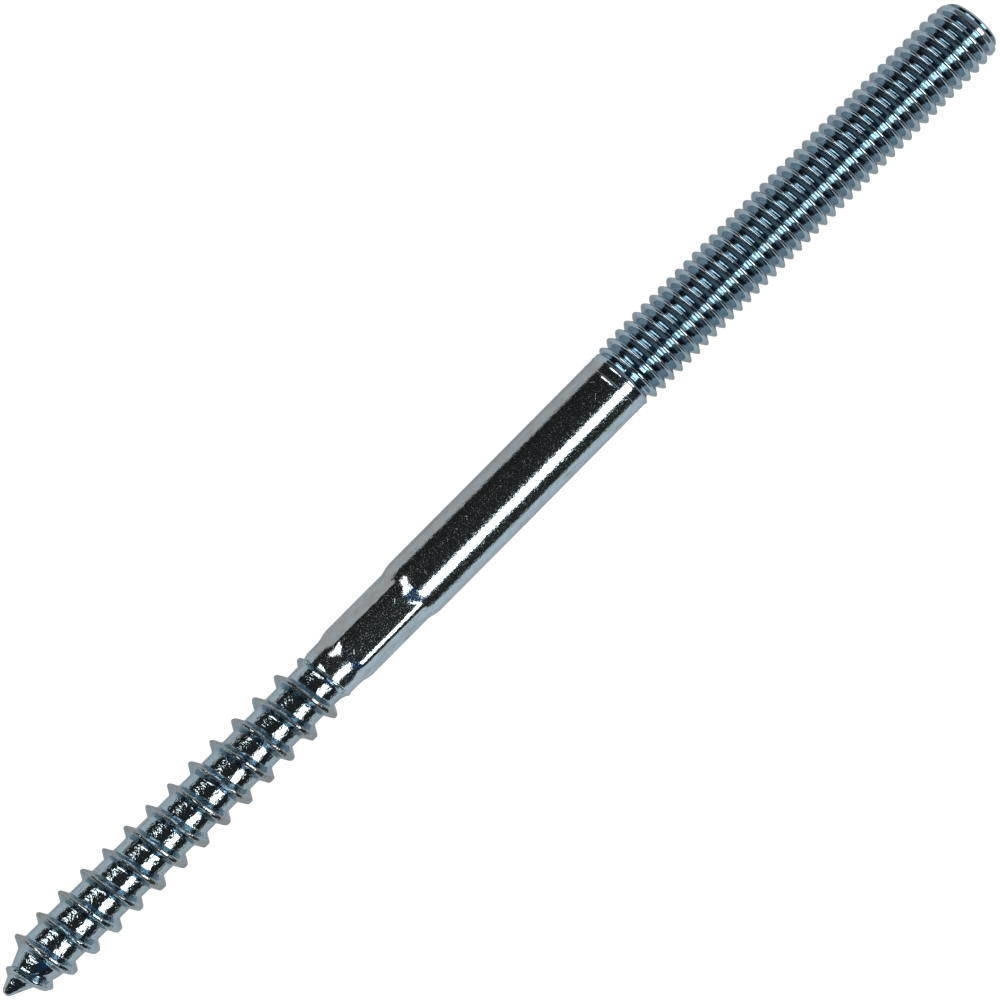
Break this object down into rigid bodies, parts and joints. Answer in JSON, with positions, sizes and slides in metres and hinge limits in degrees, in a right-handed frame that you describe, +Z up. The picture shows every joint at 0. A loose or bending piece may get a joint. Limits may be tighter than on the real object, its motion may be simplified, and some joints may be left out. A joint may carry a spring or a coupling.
{
  "type": "hanger bolt",
  "caption": "Double-ended steel fixing: coarse wood screw with a gimlet point, plain shank with hexagonal spanner flats, and a metric machine thread for a nut.",
  "frame": {"origin": "on the floor under the middle of the bolt's length", "axes": "+X along the bolt, from the gimlet point to the machine end; +Z up, square to one pair of spanner flats"},
  "size_m": [0.1394, 0.0078, 0.0077],
  "materials": {
    "zinc_steel": "bright blue-white zinc plate over rolled steel"
  },
  "bodies": {
    "root": {"hanger_bolt": "zinc_steel"}
  },
  "joints": []
}
